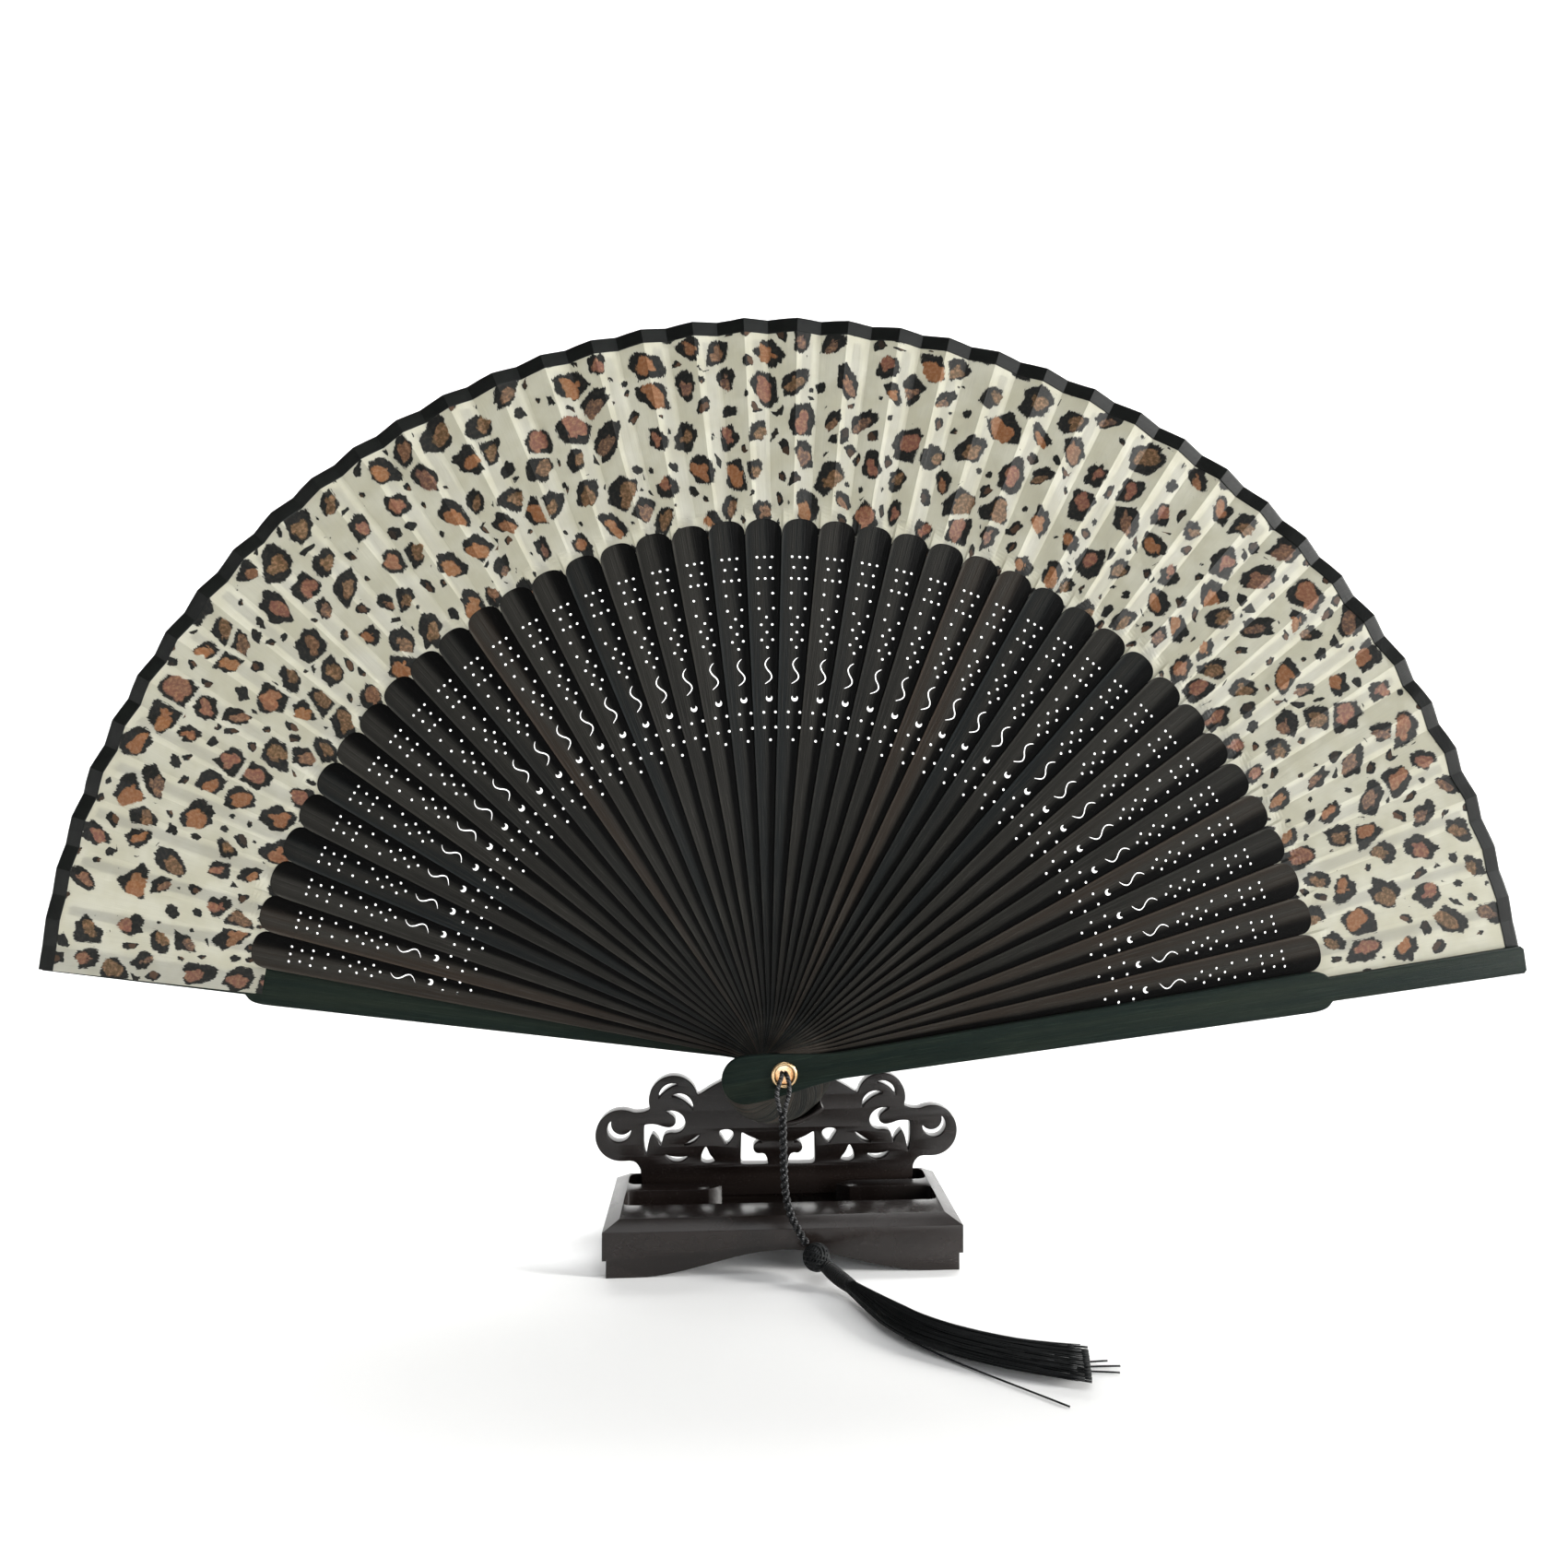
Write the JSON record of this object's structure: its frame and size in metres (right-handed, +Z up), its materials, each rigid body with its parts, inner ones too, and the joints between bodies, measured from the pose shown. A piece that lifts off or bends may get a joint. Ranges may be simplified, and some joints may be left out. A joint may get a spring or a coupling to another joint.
{
  "type": "folding hand fan on a stand",
  "caption": "Folding hand fan with pierced flat sticks and a pleated cloth leaf, open on a small carved stand, with a tassel cord through its pivot.",
  "frame": {"origin": "on the table, in the middle of the stand's width and depth", "axes": "+Z up, +X to the right of the open fan seen from the front, -Y towards the viewer, where the front guard and the tassel are"},
  "size_m": [0.389, 0.0944, 0.2449],
  "materials": {
    "bamboo": "dyed black and smooth, with a faint lengthwise grain",
    "cloth": "thin cream cloth printed with leopard spots",
    "ribbon": "black woven ribbon",
    "eyelet": "polished",
    "yarn": "black silky thread",
    "lacquer": "dark brown gloss lacquer"
  },
  "bodies": {
    "stand": {"stand_base": "lacquer", "stand_plate": "lacquer", "stand_cradle": "lacquer"},
    "pivot": {"pivot_eyelet": "eyelet", "pivot_washer": "eyelet", "cord": "yarn", "tassel_knot": "yarn", "tassel_neck": "yarn", "tassel_skirt": "yarn"},
    "back_guard": {"back_guard": "bamboo", "leaf": "cloth", "edge_ribbon": "ribbon"},
    "front_guard": {"front_guard": "bamboo"},
    "rib_01": {"rib_01": "bamboo"},
    "rib_02": {"rib_02": "bamboo"},
    "rib_03": {"rib_03": "bamboo"},
    "rib_04": {"rib_04": "bamboo"},
    "rib_05": {"rib_05": "bamboo"},
    "rib_06": {"rib_06": "bamboo"},
    "rib_07": {"rib_07": "bamboo"},
    "rib_08": {"rib_08": "bamboo"},
    "rib_09": {"rib_09": "bamboo"},
    "rib_10": {"rib_10": "bamboo"},
    "rib_11": {"rib_11": "bamboo"},
    "rib_12": {"rib_12": "bamboo"},
    "rib_13": {"rib_13": "bamboo"},
    "rib_14": {"rib_14": "bamboo"},
    "rib_15": {"rib_15": "bamboo"},
    "rib_16": {"rib_16": "bamboo"},
    "rib_17": {"rib_17": "bamboo"},
    "rib_18": {"rib_18": "bamboo"},
    "rib_19": {"rib_19": "bamboo"},
    "rib_20": {"rib_20": "bamboo"},
    "rib_21": {"rib_21": "bamboo"},
    "rib_22": {"rib_22": "bamboo"},
    "rib_23": {"rib_23": "bamboo"},
    "rib_24": {"rib_24": "bamboo"},
    "rib_25": {"rib_25": "bamboo"},
    "rib_26": {"rib_26": "bamboo"},
    "rib_27": {"rib_27": "bamboo"},
    "rib_28": {"rib_28": "bamboo"},
    "rib_29": {"rib_29": "bamboo"},
    "rib_30": {"rib_30": "bamboo"},
    "rib_31": {"rib_31": "bamboo"},
    "rib_32": {"rib_32": "bamboo"},
    "rib_33": {"rib_33": "bamboo"},
    "rib_34": {"rib_34": "bamboo"},
    "rib_35": {"rib_35": "bamboo"},
    "rib_36": {"rib_36": "bamboo"},
    "rib_37": {"rib_37": "bamboo"},
    "rib_38": {"rib_38": "bamboo"},
    "rib_39": {"rib_39": "bamboo"},
    "rib_40": {"rib_40": "bamboo"}
  },
  "joints": [
    {"name": "lift_off", "type": "slide", "parent": "stand", "child": "pivot", "axis": [0, 0, 1], "range_m": [0, 0.06]},
    {"name": "back_turn", "type": "hinge", "parent": "pivot", "child": "back_guard", "pos_m": [0, 0, 0.049], "axis": [0, -1, 0], "range_deg": [-82, 0]},
    {"name": "fan_close", "type": "hinge", "parent": "back_guard", "child": "front_guard", "pos_m": [0, 0, 0.049], "axis": [0, -1, 0], "range_deg": [0, 164], "deforming": ["leaf", "edge_ribbon"]},
    {"name": "rib_01_turn", "type": "hinge", "parent": "back_guard", "child": "rib_01", "pos_m": [0, 0, 0.049], "axis": [0, -1, 0], "range_deg": [0, 160]},
    {"name": "rib_02_turn", "type": "hinge", "parent": "back_guard", "child": "rib_02", "pos_m": [0, 0, 0.049], "axis": [0, -1, 0], "range_deg": [0, 156]},
    {"name": "rib_03_turn", "type": "hinge", "parent": "back_guard", "child": "rib_03", "pos_m": [0, 0, 0.049], "axis": [0, -1, 0], "range_deg": [0, 152]},
    {"name": "rib_04_turn", "type": "hinge", "parent": "back_guard", "child": "rib_04", "pos_m": [0, 0, 0.049], "axis": [0, -1, 0], "range_deg": [0, 148]},
    {"name": "rib_05_turn", "type": "hinge", "parent": "back_guard", "child": "rib_05", "pos_m": [0, 0, 0.049], "axis": [0, -1, 0], "range_deg": [0, 144]},
    {"name": "rib_06_turn", "type": "hinge", "parent": "back_guard", "child": "rib_06", "pos_m": [0, 0, 0.049], "axis": [0, -1, 0], "range_deg": [0, 140]},
    {"name": "rib_07_turn", "type": "hinge", "parent": "back_guard", "child": "rib_07", "pos_m": [0, 0, 0.049], "axis": [0, -1, 0], "range_deg": [0, 136]},
    {"name": "rib_08_turn", "type": "hinge", "parent": "back_guard", "child": "rib_08", "pos_m": [0, 0, 0.049], "axis": [0, -1, 0], "range_deg": [0, 132]},
    {"name": "rib_09_turn", "type": "hinge", "parent": "back_guard", "child": "rib_09", "pos_m": [0, 0, 0.049], "axis": [0, -1, 0], "range_deg": [0, 128]},
    {"name": "rib_10_turn", "type": "hinge", "parent": "back_guard", "child": "rib_10", "pos_m": [0, 0, 0.049], "axis": [0, -1, 0], "range_deg": [0, 124]},
    {"name": "rib_11_turn", "type": "hinge", "parent": "back_guard", "child": "rib_11", "pos_m": [0, 0, 0.049], "axis": [0, -1, 0], "range_deg": [0, 120]},
    {"name": "rib_12_turn", "type": "hinge", "parent": "back_guard", "child": "rib_12", "pos_m": [0, 0, 0.049], "axis": [0, -1, 0], "range_deg": [0, 116]},
    {"name": "rib_13_turn", "type": "hinge", "parent": "back_guard", "child": "rib_13", "pos_m": [0, 0, 0.049], "axis": [0, -1, 0], "range_deg": [0, 112]},
    {"name": "rib_14_turn", "type": "hinge", "parent": "back_guard", "child": "rib_14", "pos_m": [0, 0, 0.049], "axis": [0, -1, 0], "range_deg": [0, 108]},
    {"name": "rib_15_turn", "type": "hinge", "parent": "back_guard", "child": "rib_15", "pos_m": [0, 0, 0.049], "axis": [0, -1, 0], "range_deg": [0, 104]},
    {"name": "rib_16_turn", "type": "hinge", "parent": "back_guard", "child": "rib_16", "pos_m": [0, 0, 0.049], "axis": [0, -1, 0], "range_deg": [0, 100]},
    {"name": "rib_17_turn", "type": "hinge", "parent": "back_guard", "child": "rib_17", "pos_m": [0, 0, 0.049], "axis": [0, -1, 0], "range_deg": [0, 96]},
    {"name": "rib_18_turn", "type": "hinge", "parent": "back_guard", "child": "rib_18", "pos_m": [0, 0, 0.049], "axis": [0, -1, 0], "range_deg": [0, 92]},
    {"name": "rib_19_turn", "type": "hinge", "parent": "back_guard", "child": "rib_19", "pos_m": [0, 0, 0.049], "axis": [0, -1, 0], "range_deg": [0, 88]},
    {"name": "rib_20_turn", "type": "hinge", "parent": "back_guard", "child": "rib_20", "pos_m": [0, 0, 0.049], "axis": [0, -1, 0], "range_deg": [0, 84]},
    {"name": "rib_21_turn", "type": "hinge", "parent": "back_guard", "child": "rib_21", "pos_m": [0, 0, 0.049], "axis": [0, -1, 0], "range_deg": [0, 80]},
    {"name": "rib_22_turn", "type": "hinge", "parent": "back_guard", "child": "rib_22", "pos_m": [0, 0, 0.049], "axis": [0, -1, 0], "range_deg": [0, 76]},
    {"name": "rib_23_turn", "type": "hinge", "parent": "back_guard", "child": "rib_23", "pos_m": [0, 0, 0.049], "axis": [0, -1, 0], "range_deg": [0, 72]},
    {"name": "rib_24_turn", "type": "hinge", "parent": "back_guard", "child": "rib_24", "pos_m": [0, 0, 0.049], "axis": [0, -1, 0], "range_deg": [0, 68]},
    {"name": "rib_25_turn", "type": "hinge", "parent": "back_guard", "child": "rib_25", "pos_m": [0, 0, 0.049], "axis": [0, -1, 0], "range_deg": [0, 64]},
    {"name": "rib_26_turn", "type": "hinge", "parent": "back_guard", "child": "rib_26", "pos_m": [0, 0, 0.049], "axis": [0, -1, 0], "range_deg": [0, 60]},
    {"name": "rib_27_turn", "type": "hinge", "parent": "back_guard", "child": "rib_27", "pos_m": [0, 0, 0.049], "axis": [0, -1, 0], "range_deg": [0, 56]},
    {"name": "rib_28_turn", "type": "hinge", "parent": "back_guard", "child": "rib_28", "pos_m": [0, 0, 0.049], "axis": [0, -1, 0], "range_deg": [0, 52]},
    {"name": "rib_29_turn", "type": "hinge", "parent": "back_guard", "child": "rib_29", "pos_m": [0, 0, 0.049], "axis": [0, -1, 0], "range_deg": [0, 48]},
    {"name": "rib_30_turn", "type": "hinge", "parent": "back_guard", "child": "rib_30", "pos_m": [0, 0, 0.049], "axis": [0, -1, 0], "range_deg": [0, 44]},
    {"name": "rib_31_turn", "type": "hinge", "parent": "back_guard", "child": "rib_31", "pos_m": [0, 0, 0.049], "axis": [0, -1, 0], "range_deg": [0, 40]},
    {"name": "rib_32_turn", "type": "hinge", "parent": "back_guard", "child": "rib_32", "pos_m": [0, 0, 0.049], "axis": [0, -1, 0], "range_deg": [0, 36]},
    {"name": "rib_33_turn", "type": "hinge", "parent": "back_guard", "child": "rib_33", "pos_m": [0, 0, 0.049], "axis": [0, -1, 0], "range_deg": [0, 32]},
    {"name": "rib_34_turn", "type": "hinge", "parent": "back_guard", "child": "rib_34", "pos_m": [0, 0, 0.049], "axis": [0, -1, 0], "range_deg": [0, 28]},
    {"name": "rib_35_turn", "type": "hinge", "parent": "back_guard", "child": "rib_35", "pos_m": [0, 0, 0.049], "axis": [0, -1, 0], "range_deg": [0, 24]},
    {"name": "rib_36_turn", "type": "hinge", "parent": "back_guard", "child": "rib_36", "pos_m": [0, 0, 0.049], "axis": [0, -1, 0], "range_deg": [0, 20]},
    {"name": "rib_37_turn", "type": "hinge", "parent": "back_guard", "child": "rib_37", "pos_m": [0, 0, 0.049], "axis": [0, -1, 0], "range_deg": [0, 16]},
    {"name": "rib_38_turn", "type": "hinge", "parent": "back_guard", "child": "rib_38", "pos_m": [0, 0, 0.049], "axis": [0, -1, 0], "range_deg": [0, 12]},
    {"name": "rib_39_turn", "type": "hinge", "parent": "back_guard", "child": "rib_39", "pos_m": [0, 0, 0.049], "axis": [0, -1, 0], "range_deg": [0, 8]},
    {"name": "rib_40_turn", "type": "hinge", "parent": "back_guard", "child": "rib_40", "pos_m": [0, 0, 0.049], "axis": [0, -1, 0], "range_deg": [0, 4]}
  ],
  "couplings": [
    {"joint": "back_turn", "follows": "fan_close", "ratio": -0.5},
    {"joint": "rib_01_turn", "follows": "fan_close", "ratio": 0.97561},
    {"joint": "rib_02_turn", "follows": "fan_close", "ratio": 0.95122},
    {"joint": "rib_03_turn", "follows": "fan_close", "ratio": 0.92683},
    {"joint": "rib_04_turn", "follows": "fan_close", "ratio": 0.90244},
    {"joint": "rib_05_turn", "follows": "fan_close", "ratio": 0.87805},
    {"joint": "rib_06_turn", "follows": "fan_close", "ratio": 0.85366},
    {"joint": "rib_07_turn", "follows": "fan_close", "ratio": 0.82927},
    {"joint": "rib_08_turn", "follows": "fan_close", "ratio": 0.80488},
    {"joint": "rib_09_turn", "follows": "fan_close", "ratio": 0.78049},
    {"joint": "rib_10_turn", "follows": "fan_close", "ratio": 0.7561},
    {"joint": "rib_11_turn", "follows": "fan_close", "ratio": 0.73171},
    {"joint": "rib_12_turn", "follows": "fan_close", "ratio": 0.70732},
    {"joint": "rib_13_turn", "follows": "fan_close", "ratio": 0.68293},
    {"joint": "rib_14_turn", "follows": "fan_close", "ratio": 0.65854},
    {"joint": "rib_15_turn", "follows": "fan_close", "ratio": 0.63415},
    {"joint": "rib_16_turn", "follows": "fan_close", "ratio": 0.60976},
    {"joint": "rib_17_turn", "follows": "fan_close", "ratio": 0.58537},
    {"joint": "rib_18_turn", "follows": "fan_close", "ratio": 0.56098},
    {"joint": "rib_19_turn", "follows": "fan_close", "ratio": 0.53658},
    {"joint": "rib_20_turn", "follows": "fan_close", "ratio": 0.51219},
    {"joint": "rib_21_turn", "follows": "fan_close", "ratio": 0.4878},
    {"joint": "rib_22_turn", "follows": "fan_close", "ratio": 0.46342},
    {"joint": "rib_23_turn", "follows": "fan_close", "ratio": 0.43902},
    {"joint": "rib_24_turn", "follows": "fan_close", "ratio": 0.41463},
    {"joint": "rib_25_turn", "follows": "fan_close", "ratio": 0.39024},
    {"joint": "rib_26_turn", "follows": "fan_close", "ratio": 0.36585},
    {"joint": "rib_27_turn", "follows": "fan_close", "ratio": 0.34146},
    {"joint": "rib_28_turn", "follows": "fan_close", "ratio": 0.31707},
    {"joint": "rib_29_turn", "follows": "fan_close", "ratio": 0.29268},
    {"joint": "rib_30_turn", "follows": "fan_close", "ratio": 0.26829},
    {"joint": "rib_31_turn", "follows": "fan_close", "ratio": 0.2439},
    {"joint": "rib_32_turn", "follows": "fan_close", "ratio": 0.21951},
    {"joint": "rib_33_turn", "follows": "fan_close", "ratio": 0.19512},
    {"joint": "rib_34_turn", "follows": "fan_close", "ratio": 0.17073},
    {"joint": "rib_35_turn", "follows": "fan_close", "ratio": 0.14634},
    {"joint": "rib_36_turn", "follows": "fan_close", "ratio": 0.12195},
    {"joint": "rib_37_turn", "follows": "fan_close", "ratio": 0.097561},
    {"joint": "rib_38_turn", "follows": "fan_close", "ratio": 0.073171},
    {"joint": "rib_39_turn", "follows": "fan_close", "ratio": 0.04878},
    {"joint": "rib_40_turn", "follows": "fan_close", "ratio": 0.02439}
  ]
}
